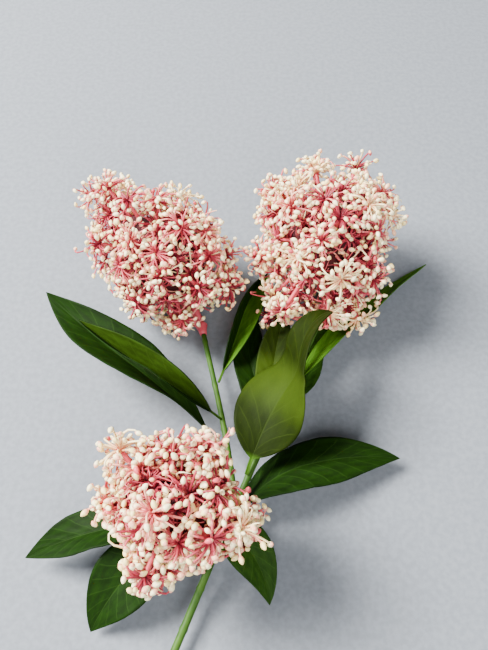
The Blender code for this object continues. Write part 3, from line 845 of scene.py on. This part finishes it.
def grow_head(name, head, cup_foot, axis, leaf_points, stem_points):
    """Umbels of budded filaments within the reach of the CAD's head, with stalks, cup and core. A
    filament that comes near a leaf, a stem or the floor is left out."""
    rng = np.random.default_rng(head["seed"])
    upright = unit(np.array(head["middle"]) - np.array(head["cup"]))
    outward, centres, hollow, bare_share = place_umbels(name, head, upright, rng)
    paths, owner = fan_filaments(head, outward, centres, rng)
    bare = rng.random(len(paths)) < bare_share[owner]
    spikes = bare & ~hollow[owner]
    paths[spikes] = paths[spikes, :1] + (paths[spikes] - paths[spikes, :1]) * SPIKE
    keep = clear_of(paths, leaf_points, OFF_LEAF) & clear_of(paths, stem_points, OFF_STEM)
    keep &= paths[:, :, 2].min(axis=1) > BUD
    paths, owner, bare = paths[keep], owner[keep], bare[keep]
    kinds = rng.choice(len(THREADS), len(outward), p=UMBEL_SHARES[name])
    kinds = np.where(hollow, list(THREADS).index("deep"), kinds)[owner]
    make_threads(name, paths, bare, kinds, rng)
    make_buds(name, paths, bare, rng)
    make_stalks(name, head, upright, centres, cup_foot, axis, rng)
    make_core(name, head)


thread_materials = [
    new_material(f"thread_{kind}_{index}", roughness=0.55, colour=colour)
    for kind, colours in THREADS.items() for index, colour in enumerate(colours)
]
# The bud_neck material is partly the buds' own peach and partly painted shade on their lower part
bud_materials = [
    new_material("bud_" + kind, roughness=0.45, colour=colour)
    for kind, colour in [*BUDS.items(), ("neck", BUD_NECK_AND_SHADE)]
]
stalk_pink = new_material("stalk_pink", roughness=0.5, colour=STALK_PINK)
# Painted shade: the dark core inside each head
shade_core_red = new_material("shade_core_red", roughness=0.9, colour=SHADE_CORE_RED)
stem_green = stem_material()
leaf_materials = {kind: leaf_material("leaf_" + kind, *finish) for kind, finish in LEAF_KINDS.items()}

cups = {name: np.array(head["cup"]) for name, head in HEADS.items()}
main_points = [CUT_END, LOW_BEND, FORK, cups["bloom_right"]]
main_route = smooth_route(main_points, CAD_STEPS)
left_points = [along(main_route, LEFT_FROM)[0], LEFT_BEND, cups["bloom_left"]]
front_points = [along(main_route, FRONT_FROM)[0], FRONT_BEND, cups["bloom_front"]]
routes = {
    "main": main_route,
    "left": smooth_route(left_points, CAD_STEPS),
    "front": smooth_route(front_points, CAD_STEPS),
}
fine_routes = {
    "main": smooth_route(main_points, MAIN_STEPS),
    "left": smooth_route(left_points, BRANCH_STEPS),
    "front": smooth_route(front_points, BRANCH_STEPS),
}
for number, (stem, route) in enumerate(fine_routes.items()):
    node, _, girth = STEMS[stem]
    if stem != "main":
        away = np.linalg.norm(route[:, None] - fine_routes["main"][None], axis=2).min(axis=1)
        route = route[away > BRANCH_OFF]
    make_stem("moulded_" + node, node, route, *girth, FIRST_JOINT + LATER_JOINT * number)

# Every third point of the stems and every fourth of the leaves is enough to keep filaments off
stem_points = np.vstack([route[::3] for route in fine_routes.values()])
leaf_points = []
for number, (name, leaf) in enumerate(LEAVES.items()):
    surface = make_leaf(name, leaf, routes[leaf["stem"]], STEMS[leaf["stem"]][2], number)
    leaf_points.append(surface[::4, ::4].reshape(-1, 3))
leaf_points = np.vstack(leaf_points)
axes = {head_name: along(routes[stem], 1.0)[1] for stem, (_, head_name, _) in STEMS.items()}
for name, head in HEADS.items():
    grow_head(name, head, cups[name] + axes[name] * CLEAR, axes[name], leaf_points, stem_points)

# Floor, light and camera
floor_mesh = bpy.data.meshes.new("floor")
floor_mesh.from_pydata([(-3, -3, 0), (3, -3, 0), (3, 3, 0), (-3, 3, 0)], [], [(0, 1, 2, 3)])
floor_mesh.materials.append(floor_material())
floor = bpy.data.objects.new("floor", floor_mesh)
bpy.context.scene.collection.objects.link(floor)


def area_light(name, place, aim, size, power, colour=(1, 1, 1)):
    """A square lamp of this size in metres, turned to its aim."""
    data = bpy.data.lights.new(name, "AREA")
    data.size, data.energy, data.color = size, power, colour
    lamp = bpy.data.objects.new(name, data)
    lamp.location = place
    lamp.rotation_euler = (Vector(aim) - Vector(place)).to_track_quat("-Z", "Y").to_euler()
    bpy.context.scene.collection.objects.link(lamp)


area_light("key", place=(-1.5, 0.6, 1.7), aim=(0, 0.1, 0), size=1.0, power=335, colour=(1, 0.98, 0.94))
area_light("fill", place=(0.3, -1.2, 1.2), aim=(0, 0.1, 0), size=1.2, power=44)
world = bpy.data.worlds.new("studio")
world.use_nodes = True
background = world.node_tree.nodes["Background"]
background.inputs["Color"].default_value = (0.92, 0.93, 0.95, 1)
background.inputs["Strength"].default_value = 0.22
bpy.context.scene.world = world

camera_data = bpy.data.cameras.new("camera")
camera_data.sensor_fit = "VERTICAL"
camera_data.sensor_height = SENSOR
camera_data.lens = FOCAL / PICTURE_HEIGHT * SENSOR
camera = bpy.data.objects.new("camera", camera_data)
camera.location = Vector((0, 0, CAMERA_HEIGHT)) + Vector(SHIFT)
camera.rotation_euler = (CAMERA_TILT, 0, 0)
bpy.context.scene.collection.objects.link(camera)
bpy.context.scene.camera = camera
